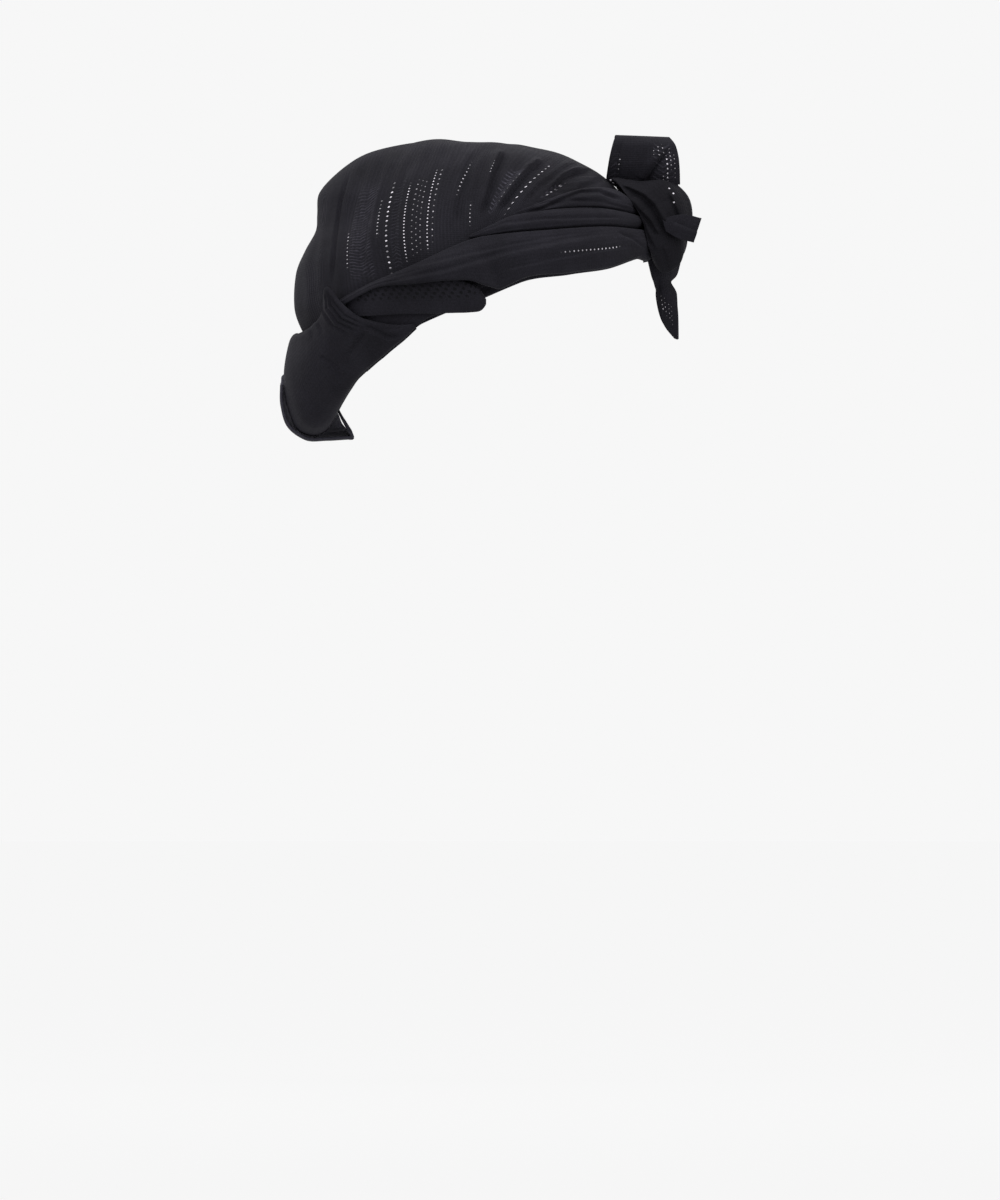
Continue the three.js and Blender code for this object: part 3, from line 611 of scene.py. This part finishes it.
layOnHead({
    "name": "lower_fold_cloth", "node": "tie_fold_lower_right", "slot": "tie_knit", "cloth": bandJersey,
    "grid": (96, 300), "seed": 2, "rowAt": 0.44, "rounding": 0.3, "flat": (0.022, 0.185),
    "held": "folded", "rests": ["crown"],
    "rows": table(
        sections,
        (4, -15.2, -4.6, 0, 0, 4.8, 4.6, 3.4), (10, -14.4, -4.2, 0, 0, 4.8, 5.8, 4.6),
        (18, -12.8, -3.2, 0, 0, 3.6, 6.4, 5.0),
        (34, -12.5, 1.7, 0, 0, 3.4, 5.6, 3.8), (55, -8.5, 8.6, 0, 0, 3.8, 6.2, 3.8),
        (75, -3.1, 15.8, 0, 0, 4.4, 6.4, 3.6), (83, -3.2, 18.2, 0.25, 0, 4.6, 6.4, 3.4),
        (88, 0.2, 18.9, 4.15, 0, 4.0, 6.2, 3.4), (93, 4.7, 19.2, 4.75, 0, 3.6, 5.6, 3.2),
        (112, 11.7, 18.8, 4.75, 0.15, 2.6, 4.4, 3.0), (127, 15.6, 18.4, 4.15, 1.15, 1.8, 2.4, 2.0),
        (143, 14.0, 16.4, 3.95, 2.95, 1.4, 1.8, 1.4)),
    "gather": {"folds": 3, "depth": 0.35, "sway": 9, "runs": 6},
    "relief": [
        {"line": [(-52, -72), (-20, -66), (12, -57), (44, -50), (72, -45)],
         "dip": 1.1, "width": 2.4, "lift": 0.7, "liftWidth": 5, "edge": 1.0},
        {"line": [(-36, -64), (-6, -57), (28, -50), (58, -45)], "dip": 0.7, "width": 1.6, "lift": 0.4},
        {"line": [(10, -66), (36, -60), (62, -55), (78, -52)], "dip": 0.6, "width": 1.4, "lift": 0.4},
        {"line": [(70, -45.5), (78, -49), (85, -54)],
         "dip": 1.0, "width": 1.4, "lift": 0.6, "liftWidth": 2.5},
    ]})
layOnHead({
    "name": "middle_fold_cloth", "node": "tie_fold_middle_right", "slot": "tie_knit", "cloth": plainJersey,
    "grid": (48, 180), "seed": 5, "rounding": 0.25, "flat": (0.0115, 0.115), "held": "folded",
    "rests": ["crown"],
    "rows": table(
        sections,
        (5, -4.0, -1.6, 0, 0, 2.4, 3.0, 2.4), (18, -2.8, 2.2, 0, 0, 4.2, 5.8, 4.6),
        (34, 2.1, 8.8, 0, 0, 3.6, 4.8, 3.8), (55, 9.0, 16.4, 0, 0, 3.4, 4.6, 3.6),
        (70, 14.5, 20.3, 0, 0, 2.8, 3.8, 2.8), (86, 19.6, 20.6, 0, 0, 1.2, 1.4, 1.2)),
    "gather": {"folds": 2, "depth": 0.4, "sway": 7, "runs": 5},
    "relief": [{"line": [(8, -42), (34, -39), (58, -38), (76, -38)], "dip": 0.8, "width": 1.4, "lift": 0.5}]})
layOnHead({
    "name": "upper_fold_cloth", "node": "tie_fold_upper_right", "slot": "tie_knit", "cloth": plainJersey,
    "grid": (56, 180), "seed": 8, "rounding": 0.3, "flat": (0.0125, 0.085), "held": "folded",
    "rests": ["crown"],
    "rows": table(
        sections,
        (6, -0.9, 4.8, 0, 0, 2.2, 3.2, 2.4), (17, 2.4, 11.8, 0, 0, 3.8, 5.2, 3.4),
        (27, 6.8, 15.6, 0, 0, 3.2, 4.4, 3.0), (40, 11.8, 18.4, 0, 0, 2.6, 3.6, 2.6),
        (54, 16.6, 19.9, 0, 0, 1.8, 2.4, 2.0), (66, 19.8, 21.0, 0, 0, 1.2, 1.4, 1.2)),
    "gather": {"folds": 4, "depth": 0.45, "sway": 6, "runs": 5},
    "relief": [
        {"line": [(80, -34), (64, -29), (46, -28), (26, -31)], "dip": 0.9, "width": 1.5, "lift": 0.5},
        {"line": [(74, -28.4), (61.4, -23.4), (51, -24), (39.3, -28.5), (30.2, -33), (20, -35)],
         "dip": 1.7, "width": 1.5, "lift": 1.0, "liftWidth": 1.8, "edge": 0.4},
    ]})
layOnHead({
    "name": "lower_fold_left_cloth", "node": "tie_fold_lower_left", "slot": "tie_knit", "cloth": plainJersey,
    "grid": (60, 240), "seed": 11, "flat": (0.028, 0.205), "held": "folded", "rests": ["crown"],
    "mirror": True,
    "rows": table(
        sections,
        (4, -15.2, -2.4, 0, 0, 4.8, 4.6, 3.2), (10, -14.4, -1.8, 0, 0, 4.4, 4.9, 3.4),
        (18, -12.8, -1.0, 0, 0, 3.2, 5.4, 3.6),
        (34, -12.3, 3.0, 0, 0, 3.4, 5.8, 3.8), (55, -8.2, 9.0, 0, 0, 3.8, 6.2, 3.8),
        (75, -3.1, 13.0, 0, 0, 4.2, 6.4, 3.6), (95, -2.4, 15.6, 0, 0, 3.8, 5.8, 3.2),
        (106, -1.6, 16.6, 0, 0, 2.6, 3.8, 2.8), (116, -1.4, 17.2, 0, 0, 1.6, 2.4, 2.2),
        (130, -5.0, 17.4, 0, 0, 1.5, 1.8, 1.6), (148, -8.6, 14.0, 0, 0, 1.2, 1.4, 1.2)),
    "gather": {"folds": 3, "depth": 0.45, "sway": 8, "runs": 6}})
layOnHead({
    "name": "upper_fold_left_cloth", "node": "tie_fold_upper_left", "slot": "tie_knit", "cloth": plainJersey,
    "grid": (52, 200), "seed": 14, "flat": (0.0145, 0.145), "held": "folded", "rests": ["crown"],
    "mirror": True,
    "rows": table(
        sections,
        (6, -1.4, 4.8, 0, 0, 2.2, 3.2, 2.4), (18, 0.0, 12.0, 0, 0, 3.0, 4.4, 2.8),
        (34, 4.0, 17.0, 0, 0, 3.0, 4.6, 2.8), (55, 10.0, 20.0, 0, 0, 2.8, 4.2, 2.6),
        (75, 14.0, 20.8, 0, 0, 2.4, 3.4, 2.4), (95, 16.7, 19.6, 0, 0, 1.6, 2.0, 1.6),
        (104, 17.5, 18.6, 0, 0, 1.2, 1.3, 1.2)),
    "gather": {"folds": 3, "depth": 0.45, "sway": 7, "runs": 5}})
# An end of the tie is tucked in over the right temple, on a plain layer that runs back under the roll.
layOnHead({
    "name": "tucked_end_cloth", "node": "tucked_end", "slot": "lace_knit", "cloth": latticeJersey,
    "grid": (64, 170), "seed": 6, "endSlope": 0.03, "rounding": 0.3, "flat": (0.017, 0.078),
    "held": "laid", "rests": ["under_layer"],
    "rows": table(
        sections,
        (90.2, -4.4, -2.0, 2.75, 1.95, 1.6, 1.8, 1.6), (91.2, -6.2, 1.4, 2.3, 1.55, 2.0, 3.2, 2.6),
        (94, -7.4, 4.6, 2.0, 0.95, 2.4, 3.8, 3.2), (98, -6.2, 8.6, 1.95, 0.65, 2.4, 3.6, 3.4),
        (103, -4.0, 11.4, 1.95, 0.65, 2.4, 3.2, 3.4), (112, 0.0, 14.4, 1.95, 0.65, 2.2, 2.8, 3.2),
        (121, 3.8, 16.2, 1.95, 0.65, 2.0, 2.5, 2.8), (130, 6.9, 16.7, 1.95, 0.55, 1.7, 2.0, 2.2),
        (141, 10.4, 15.0, 2.15, 1.75, 1.2, 1.3, 1.2))})
layOnHead({
    "name": "under_layer_cloth", "node": "under_layer", "slot": "tie_knit", "cloth": plainJersey,
    "grid": (44, 140), "seed": 9, "flat": (0.020, 0.083), "held": "laid", "rests": ["crown"],
    "rows": table(
        sections,
        (99, -1.6, 1.4, 0, 0, 1.4, 1.6, 1.4), (103, -2.3, 2.6, 0, 0, 1.6, 1.8, 1.4),
        (108, -1.9, 4.2, 0, 0, 1.8, 1.9, 1.4), (114, -1.4, 6.2, 0, 0, 1.8, 1.9, 1.4),
        (119, -2.6, 8.0, 0, 0, 1.8, 1.9, 1.4), (130, -5.3, 10.8, 0, 0, 1.8, 1.8, 1.4),
        (142, -7.6, 13.0, 0, 0, 1.6, 1.6, 1.4), (152, -9.6, 12.0, 0, 0, 1.2, 1.4, 1.2))})
# The cape is wound into a roll across the nape, whose front fold rises to a sharp peak on each side.
layOnHead({
    "name": "nape_roll_cloth", "node": "nape_roll", "slot": "tie_knit", "cloth": plainJersey,
    "grid": (210, 460), "seed": 17, "endSlope": 0.01, "flat": (0.040, 0.225), "held": "folded",
    "rests": ["crown"],
    "rows": bothSides(table(
        sections,
        (119, -2.3, -1.1, 2.35, 2.35, 1.4, 1.6, 1.4), (125, -4.1, 1.4, 2.35, 2.35, 1.8, 2.2, 1.8),
        (132, -5.6, 5.8, 2.35, 2.95, 2.4, 3.2, 2.4), (136, -6.5, 9.4, 2.35, 4.35, 2.8, 3.8, 3.0),
        (139, -7.0, 15.8, 2.35, 7.35, 3.2, 4.2, 3.2), (142, -7.6, 20.9, 2.35, 7.55, 3.6, 4.8, 3.0),
        (146, -8.3, 18.4, 2.15, 4.15, 4.6, 6.6, 3.2), (150, -9.2, 14.6, 2.35, 2.15, 6.4, 9.0, 4.0),
        (155, -11.0, 13.0, 2.15, 0.75, 11.0, 12.0, 5.0), (162, -13.4, 11.8, 2.55, 0.15, 17.0, 15.0, 6.0),
        (171, -16.2, 11.6, 4.45, 0.15, 26.4, 18.8, 6.0), (180, -17.0, 12.0, 5.85, 0.15, 27.7, 19.9, 6.0)),
        180, 2.55),
    "gather": {"folds": 3, "depth": 0.25, "sway": 9, "runs": 8},
    "relief": [  # the edges of its layers at the peak, then its slack folds
        {"line": [(-79.2, -73), (-77.4, -82), (-71.6, -89), (-62, -93.6)],
         "dip": 1.5, "width": 0.8, "lift": 0.8, "liftWidth": 1.1, "edge": 0.3, "starts": 0.04},
        {"line": [(-80.2, -75), (-79, -83.5), (-73.2, -90.8), (-62.6, -95.6)],
         "dip": 1.4, "width": 0.8, "lift": 0.8, "liftWidth": 1.1, "edge": 0.3, "starts": 0.04},
        {"line": [(-81.4, -77), (-80.8, -85), (-75.2, -92.6), (-64, -97.8)],
         "dip": 1.2, "width": 0.9, "lift": 0.7, "liftWidth": 1.3, "edge": 0.35, "starts": 0.04},
        {"line": [(-83, -79), (-82.8, -86.5), (-77.6, -94.4), (-67, -100)],
         "dip": 1.0, "width": 1.1, "lift": 0.6, "liftWidth": 1.6, "edge": 0.45, "starts": 0.06},
        {"line": [(-90, -86), (-86, -92), (-83, -99)],
         "dip": 1.0, "width": 1.4, "lift": 0.6, "liftWidth": 2.5},
        {"line": [(-94, -90), (-90, -95), (-88, -101)],
         "dip": 0.7, "width": 1.3, "lift": 0.4, "liftWidth": 2.5},
        {"line": [(-84.5, -110.5), (-79, -113), (-73, -118.6)], "dip": 1.3, "width": 1.8, "lift": 0.5},
        {"line": [(-80, -115.5), (-75, -119.5), (-70, -121)], "dip": 0.8, "width": 1.4, "lift": 0.3},
        {"line": [(-60.8, -94.8), (-48.4, -101), (-40, -100)],
         "dip": 1.6, "width": 2.0, "lift": 0.8, "edge": 0.8},
        {"line": [(-60.8, -96.8), (-66, -103), (-71.2, -109.2)],
         "dip": 1.3, "width": 2.2, "lift": 0.5, "edge": 0.8},
    ]})
# The knot stands up from the forehead. shape is its outline from the side, as a share of its thickness.
layOnHead({
    "name": "knot_cloth", "node": "knot", "slot": "tie_knit", "cloth": knotShadedJersey,
    "grid": (200, 180), "seed": 20, "endSlope": 0.1, "rowAt": 0.66, "flanked": True,
    "flat": (0.056, 0.072), "held": "gathered", "rests": ["tie_fold_lower_right", "tie_fold_lower_left"],
    "rows": bothSides(table(
        sections,
        (0, -17.4, 12.8, -0.3, -0.3, 32.4, 29.6, 26.8), (2.8, -17.2, 12.6, -0.3, -0.3, 31.8, 29.4, 27),
        (5.0, -17.0, 12.4, 6.3, 2.3, 24.5, 24.5, 24.5),
        (8.4, -19.4, 15.6, 6.6, 2.0, 21.3, 21.3, 21.3), (11.2, -17.0, 14.4, 6.75, 3.4, 15.5, 15.5, 15.5),
        (15, -10.2, 9.6, 6.95, 5.15, 6, 6, 6)), 0),
    "shape": table(
        "s share",
        (0, 0.56), (0.05, 0.7), (0.12, 0.73), (0.225, 0.78), (0.41, 0.96), (0.545, 1.0), (0.72, 0.92),
        (0.827, 0.45), (1, 0.06)),
    "gather": {"folds": 4, "depth": 0.5, "sway": 4, "runs": 3},
    "relief": [
        {"line": [(103, -49), (98.8, -44.8), (93.6, -38.6), (89.4, -31), (84, -26), (76, -22), (68, -20)],
         "dip": 3.4, "width": 3.2, "lift": 2.0, "liftWidth": 2.6, "edge": 0.7, "starts": 0.2},
        {"line": [(92, -47), (87, -39), (82, -34), (74, -31)], "dip": 2.0, "width": 2.0, "lift": 1.1},
        {"line": [(92, -56), (88, -50), (84, -43), (78, -40)], "dip": 2.0, "width": 2.0, "lift": 1.2},
        {"line": [(104, -42), (101, -33), (97, -24)], "dip": 1.6, "width": 2.0, "lift": 1.0, "liftWidth": 3},
        {"line": [(98, -66), (96, -58), (94, -52)], "dip": 1.8, "width": 2.2, "lift": 0.8},
    ]})

# The cape's inner layer goes round behind the roll and ends in a pointed corner below it.
flap = {
    "name": "nape_flap_cloth", "node": "nape_flap", "slot": "tie_knit", "grid": (110, 80),
    "flat": (0.052, 0.068), "held": "folded", "rests": ["nape_roll"],
    # the middle of its hollow in metres, how far its thickness stands outwards, and its cloth in mm
    "centre": (0, 0.03, -0.12), "outwards": 0.2, "cloth": (70, 62), "spreadRise": -12.0,
    "profile": table(
        "s radius rise",
        (0, 115.6, -0.5), (0.14, 120.2, -5.0), (0.3, 123.0, -10.0), (0.47, 120.0, -15.0),
        (0.66, 112.0, -18.8), (0.85, 103.8, -22.8), (0.88, 102.2, -23.8), (0.9, 101.3, -22.4),
        (1, 97.6, -15.0)),
    "reach": table(
        "turn reach drawn lifted",
        (177, 0.9, 0.4, 0.2), (182, 1, 0, 0), (185, 1, -0.4, 0.2), (190, 0.95, -1.3, 0.9),
        (193, 0.88, -1.6, 2.2), (196, 0.78, 0.6, 2.8), (202, 0.6, 5.0, 3.8), (206, 0.46, 6.2, 4.3)),
}


def placeFlap(a, b):
    reach = flap["reach"]
    turn = reach["turn"][0] + (reach["turn"][-1] - reach["turn"][0]) * a
    s = along(reach, "turn", "reach", turn) * b
    level = flap["spreadRise"]  # the flap narrows round the head as the crown does at this rise
    spread = crownRadius(turn, np.full_like(turn, level)) / crownRadius(180.0, level)
    radius = along(flap["profile"], "s", "radius", s) * spread - along(reach, "turn", "drawn", turn)
    rise = along(flap["profile"], "s", "rise", s) + along(reach, "turn", "lifted", turn)
    return placeOnHead(turn, rise, radius)


def mapFlap(a, b):
    return np.stack([a * flap["cloth"][0], b * flap["cloth"][1]], axis=-1)


flapCloth = clothGrid(flap["name"], flap["grid"], placeFlap, mapFlap, plainJersey)
# its inner face and its edge take the lighter copies: painted light
flapCloth.data.materials.append(insideLitJersey)
flapCloth.data.materials.append(rimHighlitJersey)
addWall(flapCloth, wall["edge"], flap["centre"], flap["outwards"], 1, 2)
declare(flapCloth, flap)


bowMiddle = (0.0, -0.09, -0.02)  # metres, for the side on which a strip faces out


def hang(strip):
    # a free strip: each row is a section, from its back edge to its fore one, bulging by cup to the right
    rows = strip["rows"]
    rows["k"] = np.arange(len(rows["cup"]), dtype=float)

    def edges(b):
        value = {name: along(rows, "k", name, b * rows["k"][-1]) for name in rows}
        back = np.stack([value["backX"], value["backY"], value["backZ"]], -1)
        return back, np.stack([value["foreX"], value["foreY"], value["foreZ"]], -1), value["cup"]

    def place(a, b):
        back, fore, cup = edges(b)
        spots = back + (fore - back) * a[:, None]
        rightwards = np.where(spots[:, 0] < 0, 1, -1)
        dent = creases(spots, strip["relief"]) * np.sin(np.pi * np.clip(a, 0.01, 0.99)) ** 0.5
        soft = wrinkles(spots, 9, strip["uneven"], strip["seed"], (1, 1, 1.5))
        spots[:, 0] -= cup * np.sin(np.pi * a) + rightwards * (dent + soft)
        return spots

    def mapping(a, b):
        back, fore, _ = edges(b)
        down, _, _ = edges(np.linspace(0, 1, 200))
        length = np.concatenate([[0], np.cumsum(np.linalg.norm(np.diff(down, axis=0), axis=1))])
        wide = np.linalg.norm(fore - back, axis=1).max()
        return np.stack([a * wide, np.interp(b, np.linspace(0, 1, 200), length)], axis=-1)

    piece = clothGrid(strip["name"], strip["grid"], place, mapping, strip["cloth"])
    addWall(piece, wall["tie"], bowMiddle, 0)
    declare(piece, strip)


edgeColumns = "backX backY backZ foreX foreY foreZ cup"

# The half bow: one loop that goes up on the right and down on the left, and the tie's two ends.

hang({
    "name": "bow_loop_cloth", "node": "bow_loop", "slot": "lace_knit", "cloth": bowJersey,
    "grid": (90, 190), "seed": 31, "uneven": 0.7, "flat": (0.035, 0.075), "held": "folded", "rests": ["knot"],
    "rows": table(
        edgeColumns,
        (-8, -69.6, -20.8, -9, -103.0, -19.8, 1.0), (-9.5, -64.8, -17.0, -10, -102.9, -16.4, 1.8),
        (-12, -66.0, -9, -12, -102.4, -8, 3.0),
        (-11, -68, 0, -11, -100.6, -0.5, 3.0), (-5, -69.6, 4.9, -5, -97.3, 3.8, 1.5),
        (3, -69.6, 4.9, 3, -97.3, 3.8, -1.0), (9, -68, 0, 9, -100.4, -0.5, -3.0),
        (10, -66.5, -9, 10, -101.6, -8, -3.0), (8, -65.6, -17.0, 8.5, -102.2, -16.4, -1.8),
        (6, -69.9, -20.8, 7, -102.0, -19.8, -1.0)),
    "relief": [
        {"line": [(97, 1), (95, -3), (91, -7.5), (87.5, -12), (84, -18)],
         "dip": 3.2, "width": 3.4, "lift": 1.6, "liftWidth": 4, "edge": 0.9, "starts": 0.3, "ends": 0.05},
        {"line": [(72, -17), (71.5, -8), (74, 3)],
         "dip": 1.4, "width": 2.4, "lift": 0.7, "liftWidth": 3, "starts": 0.05},
    ]})
hang({
    "name": "short_tail_cloth", "node": "short_tail", "slot": "tie_knit", "cloth": plainJersey,
    "grid": (40, 48), "seed": 34, "uneven": 0.5, "flat": (0.013, 0.020), "held": "hung", "rests": ["knot"],
    "relief": [{"line": [(99, -40), (106, -43), (112, -45)], "dip": 0.5, "width": 1.6, "lift": 0.5}],
    "rows": table(
        edgeColumns,
        (-23.4, -93.5, -38, -23.2, -95.5, -44.4, 0.4), (-22.6, -104.5, -36, -22.2, -103.5, -48.5, 1.2),
        (-20.2, -113.9, -37.8, -19.2, -109.7, -50, 1.2))})
hang({
    "name": "hanging_tail_cloth", "node": "hanging_tail", "slot": "lace_knit", "cloth": tailJersey,
    "grid": (44, 120), "seed": 37, "uneven": 0.6, "flat": (0.0150, 0.042), "held": "hung", "rests": ["knot"],
    "relief": [{"line": [(95, -90), (93.5, -78), (92, -66)], "dip": 1.0, "width": 1.8, "lift": 0.8}],
    "rows": table(
        edgeColumns,
        (-9, -86.2, -58.6, 5, -103.0, -59.4, 1.5), (-8, -88.4, -68, 3, -101.0, -66.4, 1.5),
        (-6, -90.0, -72.4, 1, -97.9, -70.8, 1.0), (-4, -90.7, -78, -6, -101.2, -77.6, 1.5),
        (-2, -92.8, -87.5, -9, -101.9, -88, 1.5), (-3, -96.0, -94, -8, -101.9, -95, 1.0),
        (-5.5, -100.6, -99.6, -6.5, -101.9, -100.5, 0.2))})

# Sizes in metres from here on. The side view takes in viewHeight from top to bottom.
studio = {"distance": 16.0, "viewHeight": 0.624, "aim": (0, -0.0094, -0.236),
          "floorZ": -0.487, "floorRadius": 16, "paper": "#f7f7f7", "paperShade": 0.03, "glow": 0.882,
          "overhead": 1.5, "brightens": (0.12, 0.7),  # how far up the sky grows to its overhead brightness
          "lamps": [("top_lamp", (-0.5, -0.15, 1.5), 1.2, 11), ("key_lamp", (-1.3, 0.4, 1.0), 0.7, 7)]}


def studioPaper():
    # matt white paper lit from behind, so that the ground stays even to its edge
    material = bpy.data.materials.new("matt_studio_paper")
    material.use_nodes = True
    shader = material.node_tree.nodes["Principled BSDF"]
    shader.inputs["Base Color"].default_value = (*[studio["paperShade"]] * 3, 1)
    shader.inputs["Roughness"].default_value = 1.0
    shader.inputs["Specular IOR Level"].default_value = 0.0
    shader.inputs["Emission Color"].default_value = (1, 1, 1, 1)
    shader.inputs["Emission Strength"].default_value = studio["glow"]
    return material


def addFloor():
    mesh = bmesh.new()
    bmesh.ops.create_circle(mesh, cap_ends=True, cap_tris=False, segments=96, radius=studio["floorRadius"])
    bmesh.ops.translate(mesh, verts=mesh.verts, vec=(0, 0, studio["floorZ"]))
    data = bpy.data.meshes.new("studio_floor")
    mesh.to_mesh(data)
    mesh.free()
    data.materials.append(studioPaper())
    floor = bpy.data.objects.new("studio_floor", data)
    bpy.context.scene.collection.objects.link(floor)


def addSky():
    # even paper white near the horizon, brighter overhead as under a wide soft box
    sky = bpy.data.worlds.new("studio")
    sky.use_nodes = True
    tree = sky.node_tree
    direction = addNode(tree, "ShaderNodeTexCoord", out="Generated")
    height = addNode(tree, "ShaderNodeSeparateXYZ", {}, [direction], "Z")
    strength = addNode(tree, "ShaderNodeMapRange", {"interpolation_type": "SMOOTHSTEP"},
                       [height, *studio["brightens"], 1.0, studio["overhead"]])
    background = tree.nodes["Background"]
    background.inputs["Color"].default_value = hexColour(studio["paper"])
    tree.links.new(strength, background.inputs["Strength"])
    bpy.context.scene.world = sky


def addLamps():
    for name, place, size, power in studio["lamps"]:
        light = bpy.data.lights.new(name, "AREA")
        light.energy, light.shape, light.size = power, "DISK", size
        lamp = bpy.data.objects.new(name, light)
        lamp.location = place
        towards = Vector((0, 0, head["centreZ"] * toMetres)) - Vector(place)
        lamp.rotation_euler = towards.to_track_quat("-Z", "Y").to_euler()
        bpy.context.scene.collection.objects.link(lamp)


def addCamera():
    # level, from the wearer's right, and far enough off to show the side without spreading it
    lens = bpy.data.cameras.new("camera")
    lens.sensor_width = 36.0
    lens.lens = lens.sensor_width * studio["distance"] / studio["viewHeight"]
    lens.clip_start, lens.clip_end = 0.05, 60
    camera = bpy.data.objects.new("camera", lens)
    camera.location = Vector(studio["aim"]) - Vector((studio["distance"], 0, 0))
    camera.rotation_euler = (math.radians(90), 0, math.radians(-90))
    bpy.context.scene.collection.objects.link(camera)
    bpy.context.scene.camera = camera


addFloor()
addSky()
addLamps()
addCamera()
bpy.context.scene.view_settings.view_transform = "Standard"
bpy.context.scene.view_settings.look = "None"
print("studio made")
